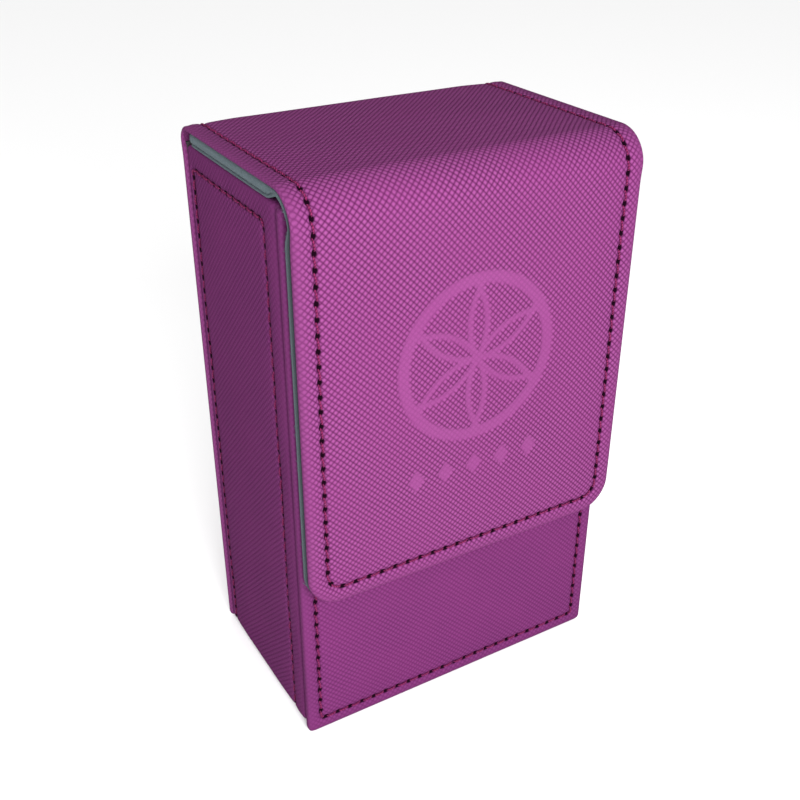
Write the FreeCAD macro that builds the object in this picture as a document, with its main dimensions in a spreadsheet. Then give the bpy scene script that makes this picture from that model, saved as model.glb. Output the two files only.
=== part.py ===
"""Card deck box: a leatherette box with a hinged lid and a long front flap, in millimetres.

Every panel is a sandwich: a leatherette skin outside, a greyboard stiffener in the middle
and a microfibre lining inside. The rear panel, the lid and the flap are one cover that
bends at two soft folds. The two sides and the bottom are one U-shaped gusset.

The box stands on Z = 0 with its front towards -Y and its width along X. Each panel has a
frame of its own, shared by all its layers: local X runs across the panel, local Y along
it, and local Z is the height above the panel's inner face.
"""

import FreeCAD, Part
import os
import Sketcher

SIZES = {
    "BoxWidth": 84.0,
    "BoxDepth": 57.0,
    "BoxHeight": 138.7,
    "Leather": 0.7,
    "CoverBoard": 1.1,
    "BodyBoard": 1.65,
    "PadLining": 1.8,
    "ThinLining": 0.6,
    "TurnedEdge": 0.9,
    "LiningInset": 0.4,
    "LidClearance": 0.6,
    "RearBend": 4.0,
    "FrontBend": 8.0,
    "FlapStandoff": 5.1,
    "FlapHem": 42.3,
    "FlapCorner": 8.0,
    "PanelCorner": 1.2,
    "EdgeRound": 0.5,
    "GussetInset": 0.5,
    "SeamWidth": 0.7,
    "SeamDepth": 0.3,
    "CoverSeamInset": 4.4,
    "FrontSeamInset": 3.4,
    "SideSeamFront": 5.5,
    "SideSeamRear": 2.0,
    "SideSeamTop": 5.2,
    "MagnetRadius": 5.0,
    "MagnetHeight": 1.0,
    "MagnetSpread": 24.0,
    "MagnetLevel": 56.0,
    "RingLevel": 95.4,
    "RingOuter": 20.0,
    "RingInner": 17.1,
    "MotifLevel": 68.5,
    "MotifPitch": 7.6,
    "MotifHalfWidth": 2.2,
    "MotifHalfHeight": 3.0,
    "DebossDepth": 0.25,
}
MOTIF_COUNT = 5
NEAR = 0.01

# Sizes that follow from the sheet, as expressions.
COVER_SKIN = "(Sizes.Leather + Sizes.CoverBoard)"
BODY_SKIN = "(Sizes.Leather + Sizes.BodyBoard)"
REAR_THICK = f"({COVER_SKIN} + Sizes.ThinLining)"
COVER_THICK = f"({COVER_SKIN} + Sizes.PadLining)"
BODY_THICK = f"({BODY_SKIN} + Sizes.PadLining)"
HALF_WIDTH = "(Sizes.BoxWidth / 2)"
REAR_FACE = "(Sizes.BoxDepth / 2)"
FLAP_FACE = "(0 - Sizes.BoxDepth / 2)"
FRONT_FACE = f"({FLAP_FACE} + Sizes.FlapStandoff)"
SIDE_HEIGHT = f"(Sizes.BoxHeight - {COVER_THICK} - Sizes.LidClearance)"
REAR_LENGTH = "(Sizes.BoxHeight - Sizes.RearBend)"
LID_LENGTH = "(Sizes.BoxDepth - Sizes.RearBend - Sizes.FrontBend)"
FLAP_LENGTH = "(Sizes.BoxHeight - Sizes.FrontBend - Sizes.FlapHem)"
GUSSET_FRONT = f"({FRONT_FACE} + {BODY_THICK})"
GUSSET_REAR = f"({REAR_FACE} - {REAR_THICK})"
GUSSET_HALF = f"({HALF_WIDTH} - Sizes.GussetInset)"

doc = FreeCAD.newDocument("card_deck_box")
sheet = doc.addObject("Spreadsheet::Sheet", "Sizes")
for row, (alias, value) in enumerate(SIZES.items(), start=1):
    sheet.set(f"A{row}", alias)
    sheet.set(f"B{row}", str(value))
    sheet.setAlias(f"B{row}", alias)
doc.recompute()

AXES = {"x": FreeCAD.Vector(1, 0, 0), "z": FreeCAD.Vector(0, 0, 1)}
FLAT = FreeCAD.Rotation()
FACING_FRONT = FreeCAD.Rotation(AXES["x"], 90)
FACING_REAR = FreeCAD.Rotation(AXES["z"], 180).multiply(FACING_FRONT)
FACING_LEFT = FreeCAD.Rotation(AXES["z"], -90).multiply(FACING_FRONT)
FACING_RIGHT = FreeCAD.Rotation(AXES["z"], 90).multiply(FACING_FRONT)
FACING_DOWN = FreeCAD.Rotation(AXES["x"], 180)

# Each panel's frame: how it is turned, and where its inner face's origin is.
FRAMES = {
    "rear": (FACING_REAR, "0", f"{REAR_FACE} - {REAR_THICK}", "0"),
    "lid": (FLAT, "0", f"{FLAP_FACE} + Sizes.FrontBend", f"Sizes.BoxHeight - {COVER_THICK}"),
    "flap": (FACING_FRONT, "0", f"{FLAP_FACE} + {COVER_THICK}", "Sizes.FlapHem"),
    "front": (FACING_FRONT, "0", f"{FRONT_FACE} + {BODY_THICK}", "0"),
    "left": (FACING_LEFT, f"{BODY_THICK} - {GUSSET_HALF}", "0", "0"),
    "right": (FACING_RIGHT, f"{GUSSET_HALF} - {BODY_THICK}", "0", "0"),
    "bottom": (FACING_DOWN, "0", "0", BODY_THICK),
    "gusset": (FACING_FRONT, "0", GUSSET_REAR, "0"),
    "rear_fold": (FLAT, "0", f"{REAR_FACE} - Sizes.RearBend", "Sizes.BoxHeight - Sizes.RearBend"),
    "front_fold": (
        FACING_FRONT,
        "0",
        f"{FLAP_FACE} + Sizes.FrontBend",
        "Sizes.BoxHeight - Sizes.FrontBend",
    ),
}
nodes = {}


def new_body(name, frame):
    """An empty body placed in a panel's frame."""
    rotation, *origin = FRAMES[frame]
    body = doc.addObject("PartDesign::Body", name)
    body.AllowCompound = True
    body.Placement = FreeCAD.Placement(FreeCAD.Vector(), rotation)
    for axis, expression in zip("xyz", origin):
        body.setExpression(f"Placement.Base.{axis}", expression)
    return body


def new_sketch(body, height="0"):
    """A sketch on the body's XY plane, at a height above the panel's inner face."""
    plane = next(f for f in body.Origin.OriginFeatures if f.Role == "XY_Plane")
    sketch = body.newObject("Sketcher::SketchObject", f"{body.Name}_sketch")
    sketch.AttachmentSupport = (plane, [""])
    sketch.MapMode = "FlatFace"
    sketch.setExpression("AttachmentOffset.Base.z", height)
    return sketch


def polygon(sketch, corners):
    """A closed outline through corners, each an (x, y) pair of expressions."""
    first, count = sketch.GeometryCount, len(corners)
    step = FreeCAD.Rotation(AXES["z"], 360.0 / count)
    rough = [FreeCAD.Vector(10, 0, 0)]
    while len(rough) < count:
        rough.append(step.multVec(rough[-1]))
    for n in range(count):
        sketch.addGeometry(Part.LineSegment(rough[n], rough[(n + 1) % count]), False)
    for n in range(count):
        line, after = first + n, first + (n + 1) % count
        sketch.addConstraint(Sketcher.Constraint("Coincident", line, 2, after, 1))
        for kind, start, expression in zip(("DistanceX", "DistanceY"), rough[n], corners[n]):
            held = sketch.addConstraint(Sketcher.Constraint(kind, -1, 1, line, 1, start))
            sketch.setExpression(f"Constraints[{held}]", expression)


def circle(sketch, x, y, radius):
    """A circle whose centre and radius are expressions."""
    shape = Part.Circle(FreeCAD.Vector(1, 1, 0), AXES["z"], 1.0)
    number = sketch.addGeometry(shape, False)
    for kind, expression in (("DistanceX", x), ("DistanceY", y)):
        held = sketch.addConstraint(Sketcher.Constraint(kind, -1, 1, number, 3, 1.0))
        sketch.setExpression(f"Constraints[{held}]", expression)
    held = sketch.addConstraint(Sketcher.Constraint("Radius", number, 1.0))
    sketch.setExpression(f"Constraints[{held}]", radius)


def rectangle(x_low, y_low, x_high, y_high):
    return [(x_low, y_low), (x_high, y_low), (x_high, y_high), (x_low, y_high)]


def centred(half, y_low, y_high):
    return rectangle(f"0 - {half}", y_low, half, y_high)


def pad(body, sketch, height):
    feature = body.newObject("PartDesign::Pad", f"{body.Name}_pad")
    feature.Profile = sketch
    feature.setExpression("Length", height)
    sketch.Visibility = False
    return feature


def pocket(body, sketch, depth):
    """Cuts down from the sketch, and makes sure that it did cut."""
    doc.recompute()
    before = body.Shape.Volume
    feature = body.newObject("PartDesign::Pocket", f"{body.Name}_pocket")
    feature.Profile = sketch
    feature.setExpression("Length", depth)
    doc.recompute()
    if not body.Shape.Volume < before:
        raise RuntimeError(f"{feature.Name} cuts nothing")
    return feature


def fillet(body, wanted, radius):
    """Rounds the edges of the body's last feature that wanted() picks, in the body's frame."""
    doc.recompute()
    base = body.Tip
    picked = [f"Edge{n}" for n, edge in enumerate(base.Shape.Edges, 1) if wanted(edge)]
    feature = body.newObject("PartDesign::Fillet", f"{body.Name}_fillet")
    feature.Base = (base, picked)
    feature.setExpression("Radius", radius)
    doc.recompute()
    return feature


def upright_at_low_end(edge):
    """The edges through a panel's thickness at its lower end, near y = 0."""
    box = edge.BoundBox
    upright = box.ZLength > NEAR and box.XLength < NEAR and box.YLength < NEAR
    return upright and box.YMax < 1.0


def layer(name, frame, outlines, low, high, corner=None):
    """A flat layer of a panel between two heights. corner rounds it at its lower end."""
    body = new_body(name, frame)
    sketch = new_sketch(body, low)
    for outline in outlines:
        polygon(sketch, outline)
    pad(body, sketch, f"{high} - {low}")
    if corner:
        fillet(body, upright_at_low_end, corner)
    return body


def skin(name, frame, outline, low, high, corner, folded_end=True):
    """A solid blank for a leatherette skin, rounded round its outer face.

    folded_end leaves the upper end square, where the skin runs on into a fold."""
    body = layer(name, frame, [outline], low, high, corner)
    doc.recompute()
    box = body.Tip.Shape.BoundBox

    def outer_rim(edge):
        place = edge.BoundBox
        at_face = abs(place.ZMin - box.ZMax) < NEAR and abs(place.ZMax - box.ZMax) < NEAR
        return at_face and not (folded_end and abs(place.YMin - box.YMax) < NEAR)

    fillet(body, outer_rim, "Sizes.EdgeRound")
    return body


def cut(name, blank, *tools):
    """A blank with the tools' shapes taken out of it."""
    result = blank
    for number, tool in enumerate(tools, 1):
        step = doc.addObject("Part::Cut", name if number == len(tools) else f"{name}_{number}")
        step.Base, step.Tool = result, tool
        result = step
    doc.recompute()
    if not result.Shape.Volume < blank.Shape.Volume:
        raise RuntimeError(f"{name}: the tools miss the blank")
    return result


def keep(name, piece):
    """Gives the finished piece its node name."""
    piece.Label = name
    nodes[name] = piece
    return piece


def band(half_outer, half_inner, y_outer, y_inner, y_end):
    """A U-shaped band that runs down one side, across the lower end and up the other side."""
    return [
        (f"0 - {half_outer}", y_end),
        (f"0 - {half_outer}", y_outer),
        (half_outer, y_outer),
        (half_outer, y_end),
        (half_inner, y_end),
        (half_inner, y_inner),
        (f"0 - {half_inner}", y_inner),
        (f"0 - {half_inner}", y_end),
    ]


def seam_sides(inset):
    """The outer and inner half widths of a seam that runs at an inset from the cover's edge."""
    middle = f"({HALF_WIDTH} - {inset})"
    return f"({middle} + Sizes.SeamWidth / 2)", f"({middle} - Sizes.SeamWidth / 2)"


def magnets(prefix, frame, y, low):
    """A left and a right disc magnet, sunk in a board."""
    made = []
    for side, sign in (("left", "0 - "), ("right", "")):
        body = new_body(f"{prefix}_magnet_{side}_disc", frame)
        sketch = new_sketch(body, low)
        circle(sketch, f"{sign}Sizes.MagnetSpread", y, "Sizes.MagnetRadius")
        pad(body, sketch, "Sizes.MagnetHeight")
        made.append(keep(f"{prefix}_magnet_{side}", body))
    return made


def rear_panel():
    free = f"({HALF_WIDTH} - Sizes.TurnedEdge)"
    lining = f"({HALF_WIDTH} - Sizes.LiningInset)"
    outer, inner = seam_sides("Sizes.CoverSeamInset")
    outline = centred(HALF_WIDTH, "0", REAR_LENGTH)
    keep(
        "rear_lining",
        layer(
            "rear_lining_layer",
            "rear",
            [centred(lining, "Sizes.LiningInset", REAR_LENGTH)],
            "0",
            "Sizes.ThinLining",
        ),
    )
    board = centred(free, "Sizes.TurnedEdge", REAR_LENGTH)
    board_top = f"{REAR_THICK} - Sizes.Leather"
    plate = layer("rear_board_layer", "rear", [board], "Sizes.ThinLining", board_top)
    keep("rear_board", plate)
    seam = band(
        outer,
        inner,
        "(Sizes.CoverSeamInset - Sizes.SeamWidth / 2)",
        "(Sizes.CoverSeamInset + Sizes.SeamWidth / 2)",
        REAR_LENGTH,
    )
    stitches = layer(
        "rear_seam", "rear", [seam], f"({REAR_THICK} - Sizes.SeamDepth)", REAR_THICK
    )
    keep("rear_stitching", stitches)
    blank = skin(
        "rear_skin", "rear", outline, "Sizes.ThinLining", REAR_THICK, "Sizes.PanelCorner"
    )
    keep("rear_leather", cut("rear_cut", blank, plate, stitches))


def lid_panel():
    lining = f"({HALF_WIDTH} - Sizes.LiningInset)"
    board = f"({HALF_WIDTH} - Sizes.TurnedEdge - Sizes.LiningInset)"
    outer, inner = seam_sides("Sizes.CoverSeamInset")
    skin_low = f"({COVER_THICK} - Sizes.Leather)"
    plate = layer(
        "lid_board_layer", "lid", [centred(board, "0", LID_LENGTH)], "Sizes.PadLining", skin_low
    )
    keep("lid_board", plate)
    pad_blank = layer(
        "lid_lining_blank", "lid", [centred(lining, "0", LID_LENGTH)], "0", skin_low
    )
    keep("lid_lining", cut("lid_lining_cut", pad_blank, plate))
    rows = [
        rectangle(f"0 - {outer}", "0", f"0 - {inner}", LID_LENGTH),
        rectangle(inner, "0", outer, LID_LENGTH),
    ]
    stitches = layer(
        "lid_seams", "lid", rows, f"({COVER_THICK} - Sizes.SeamDepth)", COVER_THICK
    )
    keep("lid_stitching", stitches)
    sheet_blank = layer(
        "lid_skin", "lid", [centred(HALF_WIDTH, "0", LID_LENGTH)], skin_low, COVER_THICK
    )
    keep("lid_leather", cut("lid_cut", sheet_blank, stitches))


def flap_panel():
    free = f"({HALF_WIDTH} - Sizes.TurnedEdge)"
    lining = f"({HALF_WIDTH} - Sizes.LiningInset)"
    outer, inner = seam_sides("Sizes.CoverSeamInset")
    outline = centred(HALF_WIDTH, "0", FLAP_LENGTH)
    board = centred(free, "Sizes.TurnedEdge", FLAP_LENGTH)
    corner = "(Sizes.FlapCorner - Sizes.TurnedEdge)"
    board_top = f"({COVER_THICK} - Sizes.Leather)"
    level = "(Sizes.MagnetLevel - Sizes.FlapHem)"
    discs = magnets("flap", "flap", level, "Sizes.PadLining")
    plate = layer("flap_board_layer", "flap", [board], "Sizes.PadLining", board_top, corner)
    keep("flap_board", cut("flap_board_cut", plate, *discs))
    keep(
        "flap_lining",
        layer(
            "flap_lining_layer",
            "flap",
            [centred(lining, "Sizes.LiningInset", FLAP_LENGTH)],
            "0",
            "Sizes.PadLining",
            "(Sizes.FlapCorner - Sizes.LiningInset)",
        ),
    )
    seam = band(
        outer,
        inner,
        "(Sizes.CoverSeamInset - Sizes.SeamWidth / 2)",
        "(Sizes.CoverSeamInset + Sizes.SeamWidth / 2)",
        FLAP_LENGTH,
    )
    stitches = layer(
        "flap_seam", "flap", [seam], f"({COVER_THICK} - Sizes.SeamDepth)", COVER_THICK
    )
    keep("flap_stitching", stitches)
    blank = skin(
        "flap_skin", "flap", outline, "Sizes.PadLining", COVER_THICK, "Sizes.FlapCorner"
    )
    deboss(blank)
    keep("flap_leather", cut("flap_cut", blank, plate, stitches))


def deboss(body):
    """The ring and the row of lozenges pressed into the flap's face."""
    ring = new_sketch(body, COVER_THICK)
    level = "(Sizes.RingLevel - Sizes.FlapHem)"
    circle(ring, "0", level, "Sizes.RingOuter")
    circle(ring, "0", level, "Sizes.RingInner")
    pocket(body, ring, "Sizes.DebossDepth")
    row = new_sketch(body, COVER_THICK)
    level = "(Sizes.MotifLevel - Sizes.FlapHem)"
    for number in range(MOTIF_COUNT):
        x = f"(Sizes.MotifPitch * {number - MOTIF_COUNT // 2})"
        polygon(
            row,
            [
                (f"{x} - Sizes.MotifHalfWidth", level),
                (x, f"{level} - Sizes.MotifHalfHeight"),
                (f"{x} + Sizes.MotifHalfWidth", level),
                (x, f"{level} + Sizes.MotifHalfHeight"),
            ],
        )
    pocket(body, row, "Sizes.DebossDepth")


def front_panel():
    free = f"({HALF_WIDTH} - Sizes.TurnedEdge)"
    lining = f"({HALF_WIDTH} - Sizes.LiningInset)"
    outer, inner = seam_sides("Sizes.FrontSeamInset")
    board = centred(free, "Sizes.TurnedEdge", f"{SIDE_HEIGHT} - Sizes.TurnedEdge")
    board_top = f"({BODY_THICK} - Sizes.Leather)"
    discs = magnets("front", "front", "Sizes.MagnetLevel", f"{board_top} - Sizes.MagnetHeight")
    plate = layer("front_board_layer", "front", [board], "Sizes.PadLining", board_top)
    keep("front_board", cut("front_board_cut", plate, *discs))
    lining_outline = centred(lining, "Sizes.LiningInset", f"{SIDE_HEIGHT} - Sizes.LiningInset")
    keep(
        "front_lining",
        layer("front_lining_layer", "front", [lining_outline], "0", "Sizes.PadLining"),
    )
    seam_low = "(Sizes.FrontSeamInset - Sizes.SeamWidth / 2)"
    seam_high = "(Sizes.FrontSeamInset + Sizes.SeamWidth / 2)"
    stitches = layer(
        "front_seam",
        "front",
        [
            centred(outer, seam_low, f"{SIDE_HEIGHT} - {seam_low}"),
            centred(inner, seam_high, f"{SIDE_HEIGHT} - {seam_high}"),
        ],
        f"({BODY_THICK} - Sizes.SeamDepth)",
        BODY_THICK,
    )
    keep("front_stitching", stitches)
    outline = centred(HALF_WIDTH, "0", SIDE_HEIGHT)
    blank = skin(
        "front_skin",
        "front",
        centred(HALF_WIDTH, "0", SIDE_HEIGHT),
        "Sizes.PadLining",
        BODY_THICK,
        "Sizes.PanelCorner",
        folded_end=False,
    )
    keep("front_leather", cut("front_cut", blank, plate, stitches))


def side_seam(side):
    """The seam of one side: up near the front edge, back below the top edge, down at the rear."""
    # Local X points to the front on the left side and to the rear on the right side.
    sign = "0 - " if side == "left" else ""
    half = "Sizes.SeamWidth / 2"
    front = f"({GUSSET_FRONT} + Sizes.SideSeamFront)"
    rear = f"({GUSSET_REAR} - Sizes.SideSeamRear)"
    top = f"({SIDE_HEIGHT} - Sizes.SideSeamTop)"
    outline = [
        (f"{front} - {half}", "0"),
        (f"{front} - {half}", f"{top} + {half}"),
        (f"{rear} + {half}", f"{top} + {half}"),
        (f"{rear} + {half}", "0"),
        (f"{rear} - {half}", "0"),
        (f"{rear} - {half}", f"{top} - {half}"),
        (f"{front} + {half}", f"{top} - {half}"),
        (f"{front} + {half}", "0"),
    ]
    return [(f"{sign}({x})", y) for x, y in outline]


def gusset():
    """The two sides and the bottom."""
    seams = [
        keep(
            f"{side}_stitching",
            layer(
                f"{side}_seam",
                side,
                [side_seam(side)],
                f"({BODY_THICK} - Sizes.SeamDepth)",
                BODY_THICK,
            ),
        )
        for side in ("left", "right")
    ]
    inside = f"({GUSSET_HALF} - Sizes.SeamDepth)"
    half = "Sizes.SeamWidth / 2"
    # Local Y points to the front under the box.
    rows = [
        centred(inside, f"0 - ({y}) - {half}", f"0 - ({y}) + {half}")
        for y in (
            f"{GUSSET_FRONT} + Sizes.SideSeamFront",
            f"{GUSSET_REAR} - Sizes.SideSeamRear",
        )
    ]
    bottom_seams = layer(
        "bottom_seams", "bottom", rows, f"({BODY_THICK} - Sizes.SeamDepth)", BODY_THICK
    )
    seams.append(keep("bottom_stitching", bottom_seams))

    inner = f"({GUSSET_HALF} - {BODY_SKIN})"
    blank = layer(
        "gusset_skin",
        "gusset",
        [band(GUSSET_HALF, inner, "0", BODY_SKIN, SIDE_HEIGHT)],
        "0",
        f"({GUSSET_REAR} - {GUSSET_FRONT})",
    )
    well = new_sketch(blank, f"({GUSSET_REAR} - {GUSSET_FRONT} - Sizes.TurnedEdge)")
    well_top = f"({SIDE_HEIGHT} - Sizes.TurnedEdge)"
    polygon(well, centred(f"({GUSSET_HALF} - Sizes.Leather)", "Sizes.Leather", well_top))
    pocket(blank, well, f"{GUSSET_REAR} - {GUSSET_FRONT} - 2 * Sizes.TurnedEdge")
    keep("gusset_leather", cut("gusset_cut", blank, *seams))

    depth_low, depth_high = "Sizes.TurnedEdge", f"({GUSSET_REAR} - {GUSSET_FRONT} - Sizes.TurnedEdge)"
    lining_low, lining_high = "0", f"({GUSSET_REAR} - {GUSSET_FRONT})"
    lining_top = f"({SIDE_HEIGHT} - Sizes.LiningInset)"
    board_out = f"({GUSSET_HALF} - Sizes.Leather)"
    lining_in = f"({GUSSET_HALF} - {BODY_THICK})"
    for side, sign in (("left", "0 - "), ("right", "")):
        plate = rectangle(f"{sign}{inner}", BODY_SKIN, f"{sign}{board_out}", well_top)
        keep(
            f"{side}_board",
            layer(f"{side}_board_layer", "gusset", [plate], depth_low, depth_high),
        )
        cloth = rectangle(f"{sign}{lining_in}", BODY_THICK, f"{sign}{inner}", lining_top)
        keep(
            f"{side}_lining",
            layer(f"{side}_lining_layer", "gusset", [cloth], lining_low, lining_high),
        )
    floor_board = centred(board_out, "Sizes.Leather", BODY_SKIN)
    keep(
        "bottom_board",
        layer("bottom_board_layer", "gusset", [floor_board], depth_low, depth_high),
    )
    floor_cloth = centred(inner, BODY_SKIN, BODY_THICK)
    keep(
        "bottom_lining",
        layer("bottom_lining_layer", "gusset", [floor_cloth], lining_low, lining_high),
    )


def fold(name, frame, half_width, radius, thickness):
    """A quarter of a tube: the part of the cover that bends round a box corner."""
    body = new_body(f"{name}_bend", frame)
    sketch = new_sketch(body)
    polygon(sketch, centred(half_width, f"{radius} - {thickness}", radius))
    feature = body.newObject("PartDesign::Revolution", f"{name}_turn")
    feature.Profile = sketch
    feature.ReferenceAxis = (sketch, ["H_Axis"])
    feature.Angle = 90.0
    doc.recompute()
    # The bend starts along local Y and ends along local Z.
    shape = body.Shape.copy()
    shape.Placement = FreeCAD.Placement()
    if shape.BoundBox.ZMax < 1.0:
        feature.Reversed = True
    keep(name, body)


def folds():
    lining = f"({HALF_WIDTH} - Sizes.LiningInset)"
    for corner, bend, cloth in (
        ("rear", "Sizes.RearBend", "Sizes.ThinLining"),
        ("front", "Sizes.FrontBend", "Sizes.PadLining"),
    ):
        fold(f"{corner}_fold_leather", f"{corner}_fold", HALF_WIDTH, bend, "Sizes.Leather")
        fold(
            f"{corner}_fold_lining", f"{corner}_fold", lining, f"({bend} - Sizes.Leather)", cloth
        )


rear_panel()
gusset()
front_panel()
lid_panel()
flap_panel()
folds()
doc.recompute()

failed = [o.Name for o in doc.Objects if {"Invalid", "Error"} & set(o.State)]
if failed:
    raise RuntimeError(f"these objects failed: {failed}")
for name, piece in nodes.items():
    if piece.Shape.isNull() or not piece.Shape.isValid():
        raise RuntimeError(f"{name} has no valid shape")

os.makedirs("parts", exist_ok=True)
for name, piece in nodes.items():
    piece.Shape.exportStep(os.path.join("parts", f"{name}.step"))
    print(name, len(piece.Shape.Solids), round(piece.Shape.Volume, 2))
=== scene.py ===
import math

import bpy
import numpy as np
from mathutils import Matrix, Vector


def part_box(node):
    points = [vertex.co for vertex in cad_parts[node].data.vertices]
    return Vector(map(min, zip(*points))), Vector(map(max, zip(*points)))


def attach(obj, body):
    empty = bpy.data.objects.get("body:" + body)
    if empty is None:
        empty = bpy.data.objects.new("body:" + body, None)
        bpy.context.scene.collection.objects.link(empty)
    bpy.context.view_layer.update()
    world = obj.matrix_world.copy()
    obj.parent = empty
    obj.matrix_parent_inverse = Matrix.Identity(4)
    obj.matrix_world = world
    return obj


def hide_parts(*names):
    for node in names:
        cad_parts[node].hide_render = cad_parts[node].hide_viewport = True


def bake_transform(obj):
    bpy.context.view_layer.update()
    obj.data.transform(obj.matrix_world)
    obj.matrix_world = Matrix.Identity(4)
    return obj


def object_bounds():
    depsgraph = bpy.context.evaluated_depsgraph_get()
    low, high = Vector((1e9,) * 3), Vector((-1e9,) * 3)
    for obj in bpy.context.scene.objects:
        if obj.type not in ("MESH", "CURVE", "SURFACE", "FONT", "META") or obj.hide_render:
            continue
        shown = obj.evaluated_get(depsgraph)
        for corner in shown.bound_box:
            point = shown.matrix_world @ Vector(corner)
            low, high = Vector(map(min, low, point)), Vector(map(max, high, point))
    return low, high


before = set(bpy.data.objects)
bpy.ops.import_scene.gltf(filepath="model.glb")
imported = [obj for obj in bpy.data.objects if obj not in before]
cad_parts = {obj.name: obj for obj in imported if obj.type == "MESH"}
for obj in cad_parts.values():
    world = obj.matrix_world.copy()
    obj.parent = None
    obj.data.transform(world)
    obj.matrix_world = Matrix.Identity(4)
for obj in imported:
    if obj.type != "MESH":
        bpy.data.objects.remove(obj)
cad_low, cad_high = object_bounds()

# Lengths below are in millimetres; build_mesh() turns them into metres.
MM = 0.001
SEED = 20


# ---------------------------------------------------------------- sizes read from the frame

def reach(node):
    """A CAD node's lowest and highest corners in millimetres."""
    low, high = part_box(node)
    return np.array(low) / MM, np.array(high) / MM


flap_low, flap_high = reach("flap_leather")
lid_low, lid_high = reach("lid_leather")
rear_low, rear_high = reach("rear_leather")
gusset_low, gusset_high = reach("gusset_leather")
front_low, front_high = reach("front_leather")

HALF_WIDTH = flap_high[0]
FRONT_BEND = lid_low[1] - flap_low[1]
REAR_BEND = rear_high[1] - lid_high[1]
FLAP_RUN = flap_high[2] - flap_low[2]
LID_RUN = lid_high[1] - lid_low[1]
REAR_RUN = rear_high[2] - rear_low[2]
FRONT_ARC = FRONT_BEND * math.pi / 2
REAR_ARC = REAR_BEND * math.pi / 2
LEATHER = 0.72
FLAP_BUILD = flap_high[1] - flap_low[1]
WALL_BUILD = front_high[1] - front_low[1]

# Distances along the cover's outer face, from the flap's hem over the lid and down the back.
FOLD_START = FLAP_RUN
LID_START = FOLD_START + FRONT_ARC
LID_END = LID_START + LID_RUN
REAR_START = LID_END + REAR_ARC
COVER_LENGTH = REAR_START + REAR_RUN
COVER_JOIN = (LID_START + LID_END) / 2

# Seams and the pressed decoration.
COVER_INSET = 4.4
FRONT_INSET = 3.4
SIDE_FRONT_INSET = 5.5
SIDE_REAR_INSET = 2.0
SIDE_TOP_INSET = 5.2
STITCH_PITCH = 3.4
RING_LEVEL = 95.4
RING_OUTER = 20.0
RING_INNER = 17.1
ROSETTE_RADIUS = 16.2
ROSETTE_LINE = 0.72
MOTIF_LEVEL = 68.5
MOTIF_PITCH = 7.6
MOTIF_HALF_WIDTH = 2.2
MOTIF_HALF_HEIGHT = 3.0
MOTIF_OFFSETS = (-2, -1, 0, 1, 2)
PRESS_DEPTH = 0.22


# ---------------------------------------------------------------- lines in a plane

def smooth(value, low, high):
    """0 below low, 1 above high, and a smooth ramp between."""
    t = np.clip((np.asarray(value, float) - low) / (high - low), 0, 1)
    return t * t * (3 - 2 * t)


class Trace:
    """A line of straight runs and arcs in a plane; a positive turn is to the left."""

    def __init__(self, start, heading, steps):
        self.parts = []
        point = np.array(start, float)
        angle = math.radians(heading)
        gone = 0.0
        for length, turn in steps:
            turn = math.radians(turn)
            bend = turn / length
            self.parts.append((gone, length, point, angle, bend))
            point = point + self.step(length, angle, bend)
            angle += turn
            gone += length
        self.length = gone

    @staticmethod
    def step(t, angle, bend):
        t = np.asarray(t, float)
        if abs(bend) < 1e-9:
            return np.stack([t * math.cos(angle), t * math.sin(angle)], -1)
        turned = angle + bend * t
        across = (np.sin(turned) - math.sin(angle)) / bend
        up = (math.cos(angle) - np.cos(turned)) / bend
        return np.stack([across, up], -1)

    def at(self, t):
        """The point at distance t and the direction to its left."""
        t = np.asarray(t, float)
        point = np.zeros(t.shape + (2,))
        left = np.zeros(t.shape + (2,))
        for number, (gone, length, start, angle, bend) in enumerate(self.parts):
            here = t >= gone if number else np.ones(t.shape, bool)
            local = t[here] - gone
            turned = angle + bend * local
            point[here] = start + self.step(local, angle, bend)
            left[here] = np.stack([-np.sin(turned), np.cos(turned)], -1)
        return point, left

    def near(self, place):
        """Each place's distance from the line, left side positive, and where along it that is."""
        best = np.full(place.shape[:-1], 1e9)
        signed = best.copy()
        along = np.zeros_like(best)
        for gone, length, start, angle, bend in self.parts:
            ahead = np.array([math.cos(angle), math.sin(angle)])
            left = np.array([-ahead[1], ahead[0]])
            offset = place - start
            if abs(bend) < 1e-9:
                t = np.clip(offset @ ahead, 0, length)
                side = offset @ left
            else:
                radius = 1 / bend
                spoke = offset - left * radius
                swing = np.arctan2(spoke @ ahead * bend, -(spoke @ left) * bend)
                t = np.clip(swing * abs(radius), 0, length)
                side = (abs(radius) - np.hypot(spoke[..., 0], spoke[..., 1])) * np.sign(bend)
            gap = offset - self.step(t, angle, bend)
            distance = np.hypot(gap[..., 0], gap[..., 1])
            closer = distance < best
            best = np.where(closer, distance, best)
            signed = np.where(closer, np.copysign(distance, side), signed)
            along = np.where(closer, gone + t, along)
        return signed, along


def seam_loop(low, high, low_radius, high_radius):
    """A closed row of stitches: a rectangle with rounded corners, begun halfway along its low side."""
    width = high[0] - low[0]
    height = high[1] - low[1]
    half_low = width / 2 - low_radius
    rise = height - low_radius - high_radius
    low_corner = (low_radius * math.pi / 2, 90)
    high_corner = (high_radius * math.pi / 2, 90)
    steps = [(half_low, 0), low_corner, (rise, 0), high_corner, (width - 2 * high_radius, 0)]
    steps += [high_corner, (rise, 0), low_corner, (half_low, 0)]
    return Trace(((low[0] + high[0]) / 2, low[1]), 0, steps)


def holes(seam):
    """The true pitch, so that a whole number of stitches goes round."""
    return seam.length / round(seam.length / STITCH_PITCH)


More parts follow.
